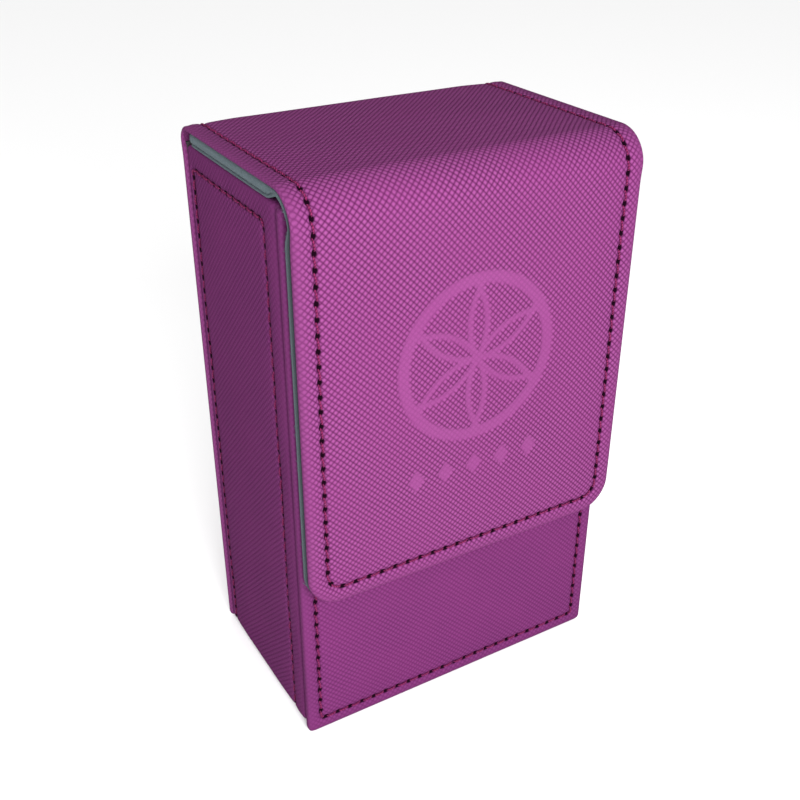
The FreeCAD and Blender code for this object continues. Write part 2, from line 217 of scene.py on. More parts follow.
class Course:
    """A strip's outer face: a Trace in one plane, swept along the third axis."""

    def __init__(self, plane, start, heading, steps):
        self.plane = plane
        self.sweep = 3 - sum(plane)
        self.trace = Trace(start, heading, steps)
        self.length = self.trace.length

    def place(self, across, along, height):
        point, out = self.trace.at(along)
        spot = point + out * np.asarray(height)[..., None]
        result = np.zeros(np.shape(along) + (3,))
        result[..., self.plane[0]] = spot[..., 0]
        result[..., self.plane[1]] = spot[..., 1]
        result[..., self.sweep] = across
        return result

    def keeps_hand(self):
        """True where across x along points out of the strip."""
        a, b, c = self.place(np.array([0.0, 1.0, 0.0]), np.array([0.0, 0.0, 1.0]), np.zeros(3))
        d = self.place(np.zeros(1), np.zeros(1), np.ones(1))[0]
        return np.dot(np.cross(b - a, c - a), d - a) > 0


COVER = Course(
    (1, 2),
    (flap_low[1], flap_low[2]),
    90,
    [(FLAP_RUN, 0), (FRONT_ARC, -90), (LID_RUN, 0), (REAR_ARC, -90), (REAR_RUN, 0)],
)
FRONT = Course((1, 2), (front_low[1], front_low[2]), 90, [(front_high[2] - front_low[2], 0)])
SIDE_HEIGHT = gusset_high[2] - gusset_low[2]
GUSSET_BEND = 1.8
SIDE_RUN = SIDE_HEIGHT - GUSSET_BEND
BOTTOM_RUN = gusset_high[0] - gusset_low[0] - 2 * GUSSET_BEND
GUSSET_ARC = GUSSET_BEND * math.pi / 2
GUSSET = Course(
    (0, 2),
    (gusset_high[0], gusset_high[2]),
    -90,
    [(SIDE_RUN, 0), (GUSSET_ARC, -90), (BOTTOM_RUN, 0), (GUSSET_ARC, -90), (SIDE_RUN, 0)],
)

COVER_SEAM = seam_loop(
    (-HALF_WIDTH + COVER_INSET, COVER_INSET),
    (HALF_WIDTH - COVER_INSET, COVER_LENGTH - COVER_INSET),
    4.0,
    1.5,
)
FRONT_SEAM = seam_loop(
    (front_low[0] + FRONT_INSET, FRONT_INSET),
    (front_high[0] - FRONT_INSET, FRONT.length - FRONT_INSET),
    0.9,
    0.9,
)
GUSSET_SEAM = seam_loop(
    (gusset_low[1] + SIDE_FRONT_INSET, SIDE_TOP_INSET),
    (gusset_high[1] - SIDE_REAR_INSET, GUSSET.length - SIDE_TOP_INSET),
    0.9,
    0.9,
)


# ---------------------------------------------------------------- meshes

def build_mesh(name, points, faces, uvs=None, values=None, sharp=55):
    """A smooth-shaded object from millimetre points, with UV maps and per-point values."""
    mesh = bpy.data.meshes.new(name)
    mesh.from_pydata((points * MM).tolist(), [], faces)
    mesh.update()
    corners = np.zeros(len(mesh.loops), np.int32)
    mesh.loops.foreach_get("vertex_index", corners)
    for key, table in (uvs or {}).items():
        layer = mesh.uv_layers.new(name=key)
        layer.data.foreach_set("uv", table[corners].astype(np.float32).ravel())
    for key, table in (values or {}).items():
        layer = mesh.attributes.new(key, "FLOAT", "POINT")
        layer.data.foreach_set("value", table.astype(np.float32))
    mesh.polygons.foreach_set("use_smooth", np.ones(len(mesh.polygons), bool))
    mesh.set_sharp_from_angle(angle=math.radians(sharp))
    piece = bpy.data.objects.new(name, mesh)
    bpy.context.scene.collection.objects.link(piece)
    return piece


def ruler(low, high, coarse, bands=()):
    """Places from low to high, coarse apart, and closer inside each (from, to, step) band."""
    stops = {low, high}
    for band in bands:
        stops.update(min(max(end, low), high) for end in band[:2])
    stops = sorted(stops)
    marks = [low]
    for start, end in zip(stops, stops[1:]):
        middle = (start + end) / 2
        steps = [band[2] for band in bands if band[0] <= middle <= band[1]]
        count = max(1, math.ceil((end - start) / min(steps + [coarse]) - 1e-6))
        marks += [start + (end - start) * k / count for k in range(1, count + 1)]
    return np.array(marks)


ROLL_STEPS = 4
# The rings of a rolled edge are numbered by marks this far apart, outside the panel's own marks.
RING_GAP = 0.05
# How far the weave runs on from one ring to the next, and the "edge" value of a back face.
RING_STRETCH = 0.35
BACK_EDGE = 5.0


def quarter(radius):
    """(inset, depth) points round the outer quarter of a rolled edge."""
    turns = [math.pi / 2 * k / ROLL_STEPS for k in range(1, ROLL_STEPS + 1)]
    return [(radius - radius * math.sin(t), radius - radius * math.cos(t)) for t in turns]


def rolled(thickness, radius, inner=LEATHER, under=None):
    """An edge that rolls over to the back face, and then up to the depth that is called inner."""
    under = under or radius
    back = [(inset, thickness - depth) for inset, depth in reversed(quarter(under))]
    return quarter(radius) + back + [(under, thickness), (radius + 0.05, thickness), (radius + 0.08, inner)]


def allowance(reach_out, radius=0.8):
    """An edge that rolls in and then carries on outwards, as a seam allowance in a groove."""
    lip = radius + 0.1
    out = [(-0.15, lip), (-0.4, lip), (-0.55, lip + 0.2), (-0.6, 2.1), (-reach_out, 2.3)]
    return quarter(radius) + out + [(-reach_out, 2.6), (radius + 0.08, LEATHER)]


class Rim:
    """How a panel's edge is rolled: one section, or two with a weight between them.

    thinned(along) is the share of its thickness that it keeps at each place."""

    def __init__(self, first, second=None, weight=None, thinned=None):
        self.first = np.array(first)
        self.second = np.array(second if second is not None else first)
        self.weight = weight
        self.thinned = thinned
        # The roll's radius, worked back from its first point.
        self.start = self.first[0][0] / (1 - math.sin(math.pi / 2 / ROLL_STEPS))
        self.rings = len(self.first)

    def at(self, ring, along, ends):
        weight = self.weight(along, ends) if self.weight else np.zeros(np.shape(along))
        mixed = self.first[ring] * (1 - weight)[..., None] + self.second[ring] * weight[..., None]
        kept = self.thinned(along) if self.thinned else 1.0
        return mixed[..., 0], mixed[..., 1] * kept


def panel(course, low, high, radii, rim, relief, columns, rows,
          closed=(True, True), face=1, base=None, back_step=7):
    """A closed skin on a course, between low and high (across, along), with rolled edges.

    relief(across, along, inset) gives the height over the base and how far the weave is pressed
    flat. An end that isn't closed stops at a flat cut."""
    start = rim.start
    ladder = RING_GAP * np.arange(1, rim.rings + 1)
    across_marks = np.concatenate([low[0] + start - ladder[::-1], columns, high[0] - start + ladder])
    along_marks = rows
    if closed[0]:
        along_marks = np.concatenate([low[1] + start - ladder[::-1], along_marks])
    if closed[1]:
        along_marks = np.concatenate([along_marks, high[1] - start + ladder])

    middle = (np.array(low) + np.array(high)) / 2
    half = (np.array(high) - np.array(low)) / 2

    def lay(across, along):
        """Plan position, height, weave position, inset and pressed value for places of the grid."""
        side_a = np.where(across < middle[0], -1.0, 1.0)
        side_s = np.where(along < middle[1], -1.0, 1.0)
        shut = np.where(side_s < 0, closed[0], closed[1])
        radius = np.where(side_s < 0, radii[0], radii[1]) * shut
        u = np.abs(across - middle[0]) - (half[0] - radius)
        v = np.where(shut, np.abs(along - middle[1]) - (half[1] - radius), -1e3)
        corner = (u > 0) & (v > 0)
        with np.errstate(divide="ignore", invalid="ignore"):
            swing = np.where(u >= v, v / u, 2 - u / v) * math.pi / 4
        swing = np.where(corner, swing, np.where(u >= v, 0, math.pi / 2))
        normal_a = np.cos(swing)
        normal_s = np.sin(swing)
        distance = radius - np.maximum(u, v)
        foot_a = np.where(corner, half[0] - radius + radius * normal_a, np.abs(across - middle[0]))
        foot_s = np.where(corner, half[1] - radius + radius * normal_s, np.abs(along - middle[1]))
        foot_a = np.where(~corner & (u >= v), half[0], foot_a)
        foot_s = np.where(~corner & (u < v), half[1], foot_s)
        ring = np.clip(np.rint((start - distance) / RING_GAP), 0, rim.rings).astype(int)
        foot_along = middle[1] + side_s * foot_s
        section = rim.at(np.maximum(ring - 1, 0), foot_along, np.abs(normal_s))
        inset = np.where(ring > 0, section[0], distance)
        depth = np.where(ring > 0, section[1], 0)
        plan_a = middle[0] + side_a * (foot_a - normal_a * inset)
        plan_s = middle[1] + side_s * (foot_s - normal_s * inset)
        raised, pressed = relief(plan_a, plan_s, inset)
        raised = raised * smooth(inset, start, start + 1.2) * (ring == 0)
        stretch = np.where(ring > 0, start - ring * RING_STRETCH, distance)
        weave_a = middle[0] + side_a * (foot_a - normal_a * stretch)
        weave_s = middle[1] + side_s * (foot_s - normal_s * stretch)
        height = (base(plan_s) if base else 0) + face * (raised - depth)
        return plan_a, plan_s, height, weave_a, weave_s, stretch, pressed

    grid = np.meshgrid(across_marks, along_marks, indexing="ij")
    plan_a, plan_s, height, weave_a, weave_s, stretch, pressed = lay(*grid)
    wide, long = plan_a.shape
    index = np.arange(wide * long).reshape(wide, long)
    points = [course.place(plan_a, plan_s, height).reshape(-1, 3)]
    weave = [np.stack([weave_a, weave_s], -1).reshape(-1, 2)]
    extras = [np.stack([stretch, pressed], -1).reshape(-1, 2)]
    quads = np.stack([index[:-1, :-1], index[1:, :-1], index[1:, 1:], index[:-1, 1:]], -1)
    quads = quads.reshape(-1, 4)

    # The back face: a coarse grid that shares the outermost ring's points.
    skip = rim.rings + 3
    back_i = [0] + list(range(skip, wide - skip, back_step)) + [wide - 1]
    first_j = skip if closed[0] else 0
    last_j = long - skip if closed[1] else long - 1
    inner_j = list(range(first_j, last_j, back_step))
    if not closed[0]:
        inner_j = inner_j[1:]
    back_j = [0] + inner_j + [long - 1]
    inner_depth = rim.rings - 1

    def shared(i, j):
        edge_j = (j == 0 and closed[0]) or (j == long - 1 and closed[1])
        return i in (0, wide - 1) or edge_j

    own = {}
    spots = [(i, j) for i in back_i for j in back_j if not shared(i, j)]
    if spots:
        at = np.array(spots)
        inner_a = plan_a[at[:, 0], at[:, 1]]
        inner_s = plan_s[at[:, 0], at[:, 1]]
        section = rim.at(np.full(len(spots), inner_depth), inner_s, np.zeros(len(spots)))
        under = (base(inner_s) if base else 0) - face * section[1]
        points.append(course.place(inner_a, inner_s, under))
        weave.append(np.stack([inner_a, inner_s], -1))
        extras.append(np.tile([BACK_EDGE, 0.0], (len(spots), 1)))
        own = {spot: wide * long + k for k, spot in enumerate(spots)}

    def corner_of(i, j):
        return own[(i, j)] if (i, j) in own else int(index[i, j])

    def walk(a, b):
        """Points from one corner of a back cell up to the next, along the ring where both are on it."""
        (i0, j0), (i1, j1) = a, b
        if shared(*a) and shared(*b):
            if j0 == j1 and ((j0 == 0 and closed[0]) or (j0 == long - 1 and closed[1])):
                step = 1 if i1 > i0 else -1
                return [int(index[i, j0]) for i in range(i0, i1, step)]
            if i0 == i1 and i0 in (0, wide - 1):
                step = 1 if j1 > j0 else -1
                return [int(index[i0, j]) for j in range(j0, j1, step)]
        return [corner_of(*a)]

    back = []
    for i0, i1 in zip(back_i, back_i[1:]):
        for j0, j1 in zip(back_j, back_j[1:]):
            back.append(walk((i0, j0), (i0, j1)) + walk((i0, j1), (i1, j1))
                        + walk((i1, j1), (i1, j0)) + walk((i1, j0), (i0, j0)))
    for end, is_closed in ((0, closed[0]), (long - 1, closed[1])):
        if is_closed:
            continue
        outer = [int(index[i, end]) for i in range(wide)]
        inner = [corner_of(i, end) for i in back_i[1:-1]]
        wall = outer + inner[::-1]
        back.append(wall[::-1] if end == 0 else wall)

    faces = quads.tolist() + back
    if (face > 0) != course.keeps_hand():
        faces = [f[::-1] for f in faces]
    points = np.concatenate(points)
    weave = np.concatenate(weave)
    extras = np.concatenate(extras)
    return points, faces, weave, extras


def skin(name, seam, *places, **choices):
    """A panel with its weave map, and its seam map where it has a seam."""
    points, faces, weave, extras = panel(*places, **choices)
    uvs = {"weave": weave}
    if seam is not None:
        signed, along = seam.near(weave)
        uvs["seam"] = np.stack([along / holes(seam), signed], -1)
    return build_mesh(name, points, faces, uvs, {"edge": extras[:, 0], "pressed": extras[:, 1]})


def between(low, high, rim, coarse, bands=()):
    """The ruler's marks from one rolled edge to the other."""
    return ruler(low + rim.start, high - rim.start, coarse, bands)


SEAM_BAND = 1.1
SEAM_STEP = 0.3


def along_seam(place, step=SEAM_STEP):
    """A band of close marks on both sides of a row of stitches."""
    return (place - SEAM_BAND, place + SEAM_BAND, step)


# ---------------------------------------------------------------- relief of the leather

def undulation(across, along, seed, size=0.05):
    """Slight unevenness of a hand-laid cover, the same each time."""
    random = np.random.default_rng(SEED + seed)
    total = np.zeros(np.shape(across))
    for _ in range(5):
        direction = random.uniform(0, 2 * math.pi)
        wavelength = random.uniform(16, 45)
        phase = random.uniform(0, 2 * math.pi)
        distance = across * math.cos(direction) + along * math.sin(direction)
        total += np.sin(2 * math.pi * distance / wavelength + phase)
    return total * size / 2


# No deeper than this, because the boards lie 0.7 mm under the leather's outer face.
DEEPEST = 0.62
VALLEY_REACH = 0.8
PIT_DEPTH = 0.34
PIT_ACROSS = 0.55
PIT_ALONG = 0.7
LINING_VALLEY = 0.32


def seam_relief(seam, across, along, crown, valley):
    """Pillowed panel inside a row of stitches, a valley along it and a pit at each needle hole."""
    signed, t = seam.near(np.stack([across, along], -1))
    pitch = holes(seam)
    to_hole = np.abs((t / pitch + 0.5) % 1 - 0.5) * pitch
    swell = crown * smooth(signed, 0, 9) + 0.10 * smooth(-signed, 0, 1.6)
    channel = valley * np.exp(-((signed / VALLEY_REACH) ** 2))
    pit = PIT_DEPTH * np.exp(-((signed / PIT_ACROSS) ** 2) - (to_hole / PIT_ALONG) ** 2)
    return swell - channel - pit


def decoration(across, along):
    """How far the ring, the rosette and the row of lozenges are pressed in, from 0 to 1."""
    up = along - (RING_LEVEL - flap_low[2])
    radius = np.hypot(across, up)
    ring_middle = (RING_OUTER + RING_INNER) / 2
    ring_half = (RING_OUTER - RING_INNER) / 2
    mark = smooth(ring_half - np.abs(radius - ring_middle), -0.3, 0.35)
    for k in range(6):
        turn = math.radians(60 * k + 30)
        from_centre = np.hypot(across - ROSETTE_RADIUS * math.cos(turn), up - ROSETTE_RADIUS * math.sin(turn))
        line = smooth(ROSETTE_LINE - np.abs(from_centre - ROSETTE_RADIUS), -0.3, 0.35)
        mark = np.maximum(mark, line * smooth(ring_middle - radius, 0, 0.3))
    level = along - (MOTIF_LEVEL - flap_low[2])
    for offset in MOTIF_OFFSETS:
        beside = np.abs(across - offset * MOTIF_PITCH)
        lozenge = 1 - beside / MOTIF_HALF_WIDTH - np.abs(level) / MOTIF_HALF_HEIGHT
        mark = np.maximum(mark, smooth(lozenge, -0.08, 0.14))
    return mark * (along < FOLD_START)


def cover_relief(across, along, inset):
    mark = decoration(across, along)
    height = seam_relief(COVER_SEAM, across, along, 0.22, 0.32) + undulation(across, along, 1)
    return np.maximum(height - PRESS_DEPTH * mark, -DEEPEST), mark


def front_relief(across, along, inset):
    height = seam_relief(FRONT_SEAM, across, along, 0.2, 0.32) + undulation(across, along, 2)
    return np.maximum(height, -DEEPEST), np.zeros(np.shape(across))


def gusset_relief(across, along, inset):
    on_side = smooth(np.abs(along - GUSSET.length / 2), BOTTOM_RUN / 2 + 2, BOTTOM_RUN / 2 + 8)
    height = seam_relief(GUSSET_SEAM, across, along, 0.12, 0.3) + undulation(across, along, 3, 0.07) * on_side
    return np.maximum(height, -DEEPEST), np.zeros(np.shape(across))


def cloth_relief(crown, seed, seam=None):
    """A puffed lining, drawn in along a row of stitches where it has one."""
    def relief(across, along, inset):
        puff = crown * smooth(inset, 0, 7) + undulation(across, along, seed, 0.06)
        if seam is not None:
            signed, _ = seam.near(np.stack([across, along], -1))
            puff = puff - LINING_VALLEY * np.exp(-((signed / VALLEY_REACH) ** 2))
        return puff, np.zeros(np.shape(across))
    return relief


# ---------------------------------------------------------------- stitches

THREAD = 0.22
STITCH_RINGS = 11
STITCH_SIDES = 10
# A stitch spans this share of the pitch, its ends sunk and its middle raised.
STITCH_SHARE = 0.8
STITCH_SUNK = 0.66
STITCH_RISE = 0.55
PLY_TURNS = 2.2
PLY_RIDGE = 0.16


def tube_faces(number, rings, sides):
    """The faces of separate tubes: each a row of rings, capped at both ends."""
    index = np.arange(number * rings * sides).reshape(number, rings, sides)
    following = np.roll(index, -1, 2)
    quads = np.stack([index[:, :-1], following[:, :-1], following[:, 1:], index[:, 1:]], -1)
    faces = quads.reshape(-1, 4).tolist()
    faces += [ring[::-1].tolist() for ring in index[:, 0]]
    faces += [ring.tolist() for ring in index[:, -1]]
    return faces


def stitches(name, course, seam, chosen, level, face=1, slant=0.2, seed=0):
    """Twisted-thread stitches over each hole-to-hole span of a seam that chosen() accepts."""
    random = np.random.default_rng(SEED + 100 + seed)
    pitch = holes(seam)
    count = round(seam.length / pitch)
    centres = (np.arange(count) + 0.5) * pitch
    middle, _ = seam.at(centres)
    picked = centres[chosen(middle[:, 0], middle[:, 1])]
    number = len(picked)
    run = np.linspace(-0.5, 0.5, STITCH_RINGS)
    turn = np.linspace(0, 2 * math.pi, STITCH_SIDES, endpoint=False)
    wander = random.uniform(-0.06, 0.06, (number, 1))
    lift = random.uniform(-0.05, 0.04, (number, 1))
    tilt = slant * random.uniform(0.7, 1.3, (number, 1))
    reached = picked[:, None] + run * pitch * STITCH_SHARE
    point, left = seam.at(reached)
    arch = np.cos(run * math.pi) ** 0.45
    height = level(point[..., 1]) + face * (-STITCH_SUNK + STITCH_RISE * arch + lift)
    sideways = wander + tilt * 2 * run
    centre = point + left * sideways[..., None]
    thick = THREAD * (0.55 + 0.45 * np.sqrt(np.clip(arch, 0, 1)))
    spin = random.uniform(0, 2 * math.pi, (number, 1))
    ply = turn[None, None, :] - (run * PLY_TURNS * 2 * math.pi + spin)[..., None]
    radius = thick[None, :, None] * (1 + PLY_RIDGE * np.cos(2 * ply))
    beside = radius * np.cos(turn)
    over = radius * np.sin(turn) * face
    across = centre[..., None, 0] + left[..., None, 0] * beside
    along = centre[..., None, 1] + left[..., None, 1] * beside
    up = height[..., None] + over
    points = course.place(across, along, up).reshape(-1, 3)
    faces = tube_faces(number, STITCH_RINGS, STITCH_SIDES)
    if (face > 0) == course.keeps_hand():
        faces = [f[::-1] for f in faces]
    length = np.broadcast_to((run * pitch)[None, :, None], up.shape)
    twist = np.broadcast_to(ply / (2 * math.pi), up.shape)
    uv = np.stack([length + picked[:, None, None], twist], -1).reshape(-1, 2)
    return build_mesh(name, points, faces, {"ply": uv}, sharp=80)


# ---------------------------------------------------------------- materials

def srgb(red, green, blue):
    """A linear colour from 0..255 display values."""
    def linear(value):
        value /= 255
        return value / 12.92 if value <= 0.04045 else ((value + 0.055) / 1.055) ** 2.4
    return (linear(red), linear(green), linear(blue), 1.0)


class Paint:
    """A material being made: short calls for the nodes used below."""

    def __init__(self, name):
        self.material = bpy.data.materials.new(name)
        self.material.use_nodes = True
        self.tree = self.material.node_tree
        self.shader = self.tree.nodes["Principled BSDF"]

    def feed(self, socket, value):
        if isinstance(value, bpy.types.NodeSocket):
            self.tree.links.new(value, socket)
        else:
            socket.default_value = value

    def add(self, kind, inputs, output=0, **settings):
        node = self.tree.nodes.new(kind)
        for key, value in settings.items():
            setattr(node, key, value)
        for key, value in inputs.items():
            self.feed(node.inputs[key], value)
        return node.outputs[output]

    def math(self, operation, a, b=0.0, c=0.0):
        return self.add("ShaderNodeMath", {0: a, 1: b, 2: c}, operation=operation)

    def ramp(self, value, low, high, to_low=0.0, to_high=1.0):
        inputs = {"Value": value, "From Min": low, "From Max": high, "To Min": to_low, "To Max": to_high}
        return self.add("ShaderNodeMapRange", inputs, interpolation_type="SMOOTHSTEP")

    def mix(self, factor, a, b):
        return self.add("ShaderNodeMix", {0: factor, 6: a, 7: b}, 2, data_type="RGBA")

    def noise(self, vector, scale, detail=2.0, rough=0.5):
        inputs = {"Vector": vector, "Scale": scale, "Detail": detail, "Roughness": rough}
        return self.add("ShaderNodeTexNoise", inputs)

    def uv(self, name):
        return self.add("ShaderNodeUVMap", {}, uv_map=name)

    def split(self, vector):
        node = self.tree.nodes.new("ShaderNodeSeparateXYZ")
        self.feed(node.inputs[0], vector)
        return node.outputs[0], node.outputs[1]

    def value(self, name):
        return self.add("ShaderNodeAttribute", {}, 2, attribute_name=name)

    def bump(self, height, distance, normal=None):
        inputs = {"Height": height, "Distance": distance, "Strength": 1.0}
        if normal is not None:
            inputs["Normal"] = normal
        return self.add("ShaderNodeBump", inputs)

    def finish(self, **sockets):
        for key, value in sockets.items():
            self.feed(self.shader.inputs[key.replace("_", " ")], value)
        return self.material


WEAVE_PERIOD = 1.03


def leatherette(name, groove, crown):
    """Purple cross-woven leatherette: cells between two families of diagonal grooves."""
    p = Paint(name)
    uv = p.uv("weave")
    drift = p.noise(uv, 0.09)
    x, y = p.split(uv)
    bent = p.math("MULTIPLY_ADD", drift, 0.5, x)
    scale = math.sqrt(0.5) / WEAVE_PERIOD
    first = p.math("MULTIPLY", p.math("ADD", bent, y), scale * math.pi)
    second = p.math("MULTIPLY", p.math("SUBTRACT", bent, y), scale * math.pi)
    one_way = p.math("ABSOLUTE", p.math("SINE", first))
    other_way = p.math("ABSOLUTE", p.math("SINE", second))
    cells = p.math("POWER", p.math("MULTIPLY", one_way, other_way), 0.65)
    # The weave is pressed flat in the decoration and stretched out along the rolled edges.
    pressed = p.value("pressed")
    margin = p.ramp(p.value("edge"), 0.2, 3.4, 0.75, 0.0)
    flat = p.math("MAXIMUM", pressed, margin)
    strength = p.math("SUBTRACT", 1.0, p.math("MULTIPLY", flat, 0.78))
    faded = p.math("MULTIPLY", strength, p.ramp(p.noise(uv, 0.035, 3.0), 0.3, 0.62, 0.55, 1.0))
    woven = p.math("MULTIPLY", cells, faded)
    grain = p.noise(uv, 3.2, 4.0, 0.65)
    cloud = p.noise(uv, 0.06, 4.0, 0.55)
    # The cells' crowns are painted lighter, as highlight, and the grooves darker, as shade; where the weave
    # is pressed flat, a flatter and lighter tone takes the place of both.
    filled = p.math("MAXIMUM", p.math("MULTIPLY", pressed, 0.6), p.math("MULTIPLY", margin, 0.4))
    tone = p.math("ADD", p.math("MULTIPLY", cells, strength), filled)
    colour = p.mix(tone, groove, crown)
    colour = p.mix(p.ramp(cloud, 0.3, 0.7, 0.0, 0.2), colour, srgb(106, 38, 92))
    colour = p.mix(p.ramp(grain, 0.35, 0.75, 0.0, 0.25), colour, srgb(74, 28, 66))
    worn = p.ramp(p.value("edge"), -1.8, 0.8, 0.1, 0.0)
    colour = p.mix(worn, colour, srgb(132, 70, 122))
    # The needle holes are painted near black, as shade, and the leather is drawn down between them, with the
    # channel along the seam painted darker as shade.
    along, beside = p.split(p.uv("seam"))
    to_hole = p.math("MULTIPLY", p.math("PINGPONG", along, 0.5), STITCH_PITCH)
    slanted = p.math("MULTIPLY_ADD", to_hole, 0.15, beside)
    reach_a = p.math("DIVIDE", to_hole, 0.95)
    reach_b = p.math("DIVIDE", slanted, 0.66)
    span = p.math("SQRT", p.math("ADD", p.math("POWER", reach_a, 2.0), p.math("POWER", reach_b, 2.0)))
    hole = p.ramp(span, 0.65, 1.15, 1.0, 0.0)
    channel = p.ramp(p.math("ABSOLUTE", beside), 0.2, 0.75, 0.4, 0.0)
    colour = p.mix(channel, colour, srgb(66, 16, 48))
    colour = p.mix(hole, colour, srgb(16, 2, 12))
    fine = p.bump(p.math("ADD", grain, p.noise(uv, 9.0, 3.0)), 0.00003)
    normal = p.bump(woven, 0.00009, fine)
    rough = p.math("ADD", p.ramp(grain, 0.3, 0.7, 0.46, 0.6), p.math("MULTIPLY", cells, -0.06))
    rough = p.math("SUBTRACT", rough, p.math("MULTIPLY", pressed, 0.12))
    rough = p.math("ADD", rough, p.math("MULTIPLY", hole, 0.55))
    return p.finish(
        Base_Color=colour,
        Roughness=rough,
        Normal=normal,
        Specular_IOR_Level=0.1,
        Sheen_Weight=0.01,
        Sheen_Roughness=0.4,
        Sheen_Tint=srgb(235, 150, 220),
    )


def microfibre(name):
    """Grey brushed lining: short nap in patches, with lint."""
    p = Paint(name)
    uv = p.uv("weave")
    nap = p.noise(uv, 2.6, 6.0, 0.7)
    patch = p.noise(uv, 0.16, 3.0)
    lint = p.noise(uv, 7.5, 2.0, 0.6)
    colour = p.mix(nap, srgb(42, 54, 58), srgb(92, 106, 110))
    colour = p.mix(p.ramp(patch, 0.35, 0.65, 0.0, 0.35), colour, srgb(68, 76, 84))
    colour = p.mix(p.ramp(lint, 0.6, 0.78, 0.0, 0.6), colour, srgb(138, 148, 154))
    # Under the flap the edge is painted darker where it meets the leather, as shade between leather and
    # lining.
    _, run = p.split(uv)
    under_flap = p.ramp(run, FOLD_START, LID_START, 1.0, 0.0)
    junction_shade = p.math("MULTIPLY", p.ramp(p.value("edge"), -1.05, -0.5, 0.85, 0.0), under_flap)
    colour = p.mix(junction_shade, colour, srgb(30, 36, 40))
    normal = p.bump(p.math("ADD", nap, p.math("MULTIPLY", lint, 0.7)), 0.0002)
    return p.finish(
        Base_Color=colour,
        Roughness=p.ramp(nap, 0.2, 0.8, 0.85, 1.0),
        Normal=normal,
        Specular_IOR_Level=0.15,
        Sheen_Weight=0.15,
        Sheen_Roughness=0.5,
        Sheen_Tint=srgb(190, 204, 212),
    )


def thread(name, dark, light, glint):
    """Two-ply polyester thread: plies wound round each other, darker between them as painted shade, with
    painted highlights here and there.
    """
    p = Paint(name)
    uv = p.uv("ply")
    along, around = p.split(uv)
    ply = p.ramp(p.math("PINGPONG", p.math("MULTIPLY", around, 2.0), 0.5), 0.02, 0.42)
    glint_spots = p.noise(uv, 1.7, 3.0, 0.7)
    fibres = p.noise(p.add("ShaderNodeCombineXYZ", {0: along, 1: p.math("MULTIPLY", around, 18.0)}), 3.0, 3.0)
    # Painted shade: the crevices between the two plies are darker than the plies' crowns.
    colour = p.mix(ply, dark, light)
    # Painted highlights: glints along the fibres, and brighter spots scattered over the thread.
    colour = p.mix(p.ramp(fibres, 0.4, 0.7, 0.0, 0.35), colour, glint)
    colour = p.mix(p.ramp(glint_spots, 0.66, 0.76), colour, srgb(186, 112, 164))
    normal = p.bump(p.math("ADD", ply, p.math("MULTIPLY", fibres, 0.4)), 0.0001)
    return p.finish(
        Base_Color=colour,
        Roughness=p.ramp(fibres, 0.3, 0.7, 0.32, 0.5),
        Normal=normal,
        Specular_IOR_Level=0.25,
        Sheen_Weight=0.06,
        Sheen_Roughness=0.4,
        Sheen_Tint=srgb(230, 130, 190),
    )


def greyboard(name):
    """Recycled bookbinding board: grey pulp with flecks."""
    p = Paint(name)
    place = p.tree.nodes.new("ShaderNodeTexCoord").outputs["Object"]
    pulp = p.noise(place, 900.0, 6.0, 0.7)
    fleck = p.noise(place, 2600.0, 2.0)
    colour = p.mix(pulp, srgb(48, 44, 46), srgb(74, 70, 72))
    colour = p.mix(p.ramp(fleck, 0.66, 0.74), colour, srgb(34, 31, 33))
    return p.finish(
        Base_Color=colour,
        Roughness=p.ramp(pulp, 0.2, 0.8, 0.85, 0.97),
        Normal=p.bump(pulp, 0.0001),
        Specular_IOR_Level=0.2,
    )


def nickel(name):
    """A plated magnet disc with fine turning marks."""
    p = Paint(name)
    place = p.tree.nodes.new("ShaderNodeTexCoord").outputs["Object"]
    smear = p.noise(place, 700.0, 4.0)
    fine = p.noise(place, 5200.0, 3.0)
    colour = p.mix(smear, srgb(168, 166, 160), srgb(206, 204, 198))
    return p.finish(
        Base_Color=colour,
        Roughness=p.ramp(smear, 0.3, 0.7, 0.22, 0.4),
        Normal=p.bump(fine, 0.00001),
        Metallic=1.0,
    )


# Each leatherette's first colour is the grooves' painted shade and its second is the crowns' painted
# highlight.
LEATHER_COVER = leatherette("cover_leatherette", srgb(60, 8, 51), srgb(126, 61, 114))
# The box's copy of the leatherette is painted darker overall, as shade, for the front panel and the gusset.
LEATHER_BOX_SHADED = leatherette("box_leatherette_shaded", srgb(72, 20, 64), srgb(104, 44, 95))
LINING = microfibre("grey_microfibre")
THREAD_TOP = thread("purple_thread", srgb(56, 6, 34), srgb(112, 24, 70), srgb(150, 60, 114))
THREAD_UNDER = thread("bobbin_thread", srgb(56, 6, 34), srgb(104, 24, 68), srgb(140, 60, 108))
BOARD = greyboard("greyboard")
MAGNET = nickel("magnet_nickel")


def dress(piece, material):
    piece.data.materials.clear()
    piece.data.materials.append(material)
    return piece


# ---------------------------------------------------------------- the cover: flap, lid and back


def fold_front(piece):
    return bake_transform(piece)


def fold_rear(piece):
    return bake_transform(piece)


def on_lid(along, ends):
    """1 where the cover's edge is a single cut layer, which is from the front fold to the back."""
    return smooth(along, FOLD_START - 4, FOLD_START + 3) * (1 - smooth(along, REAR_START - 2, REAR_START + 4))


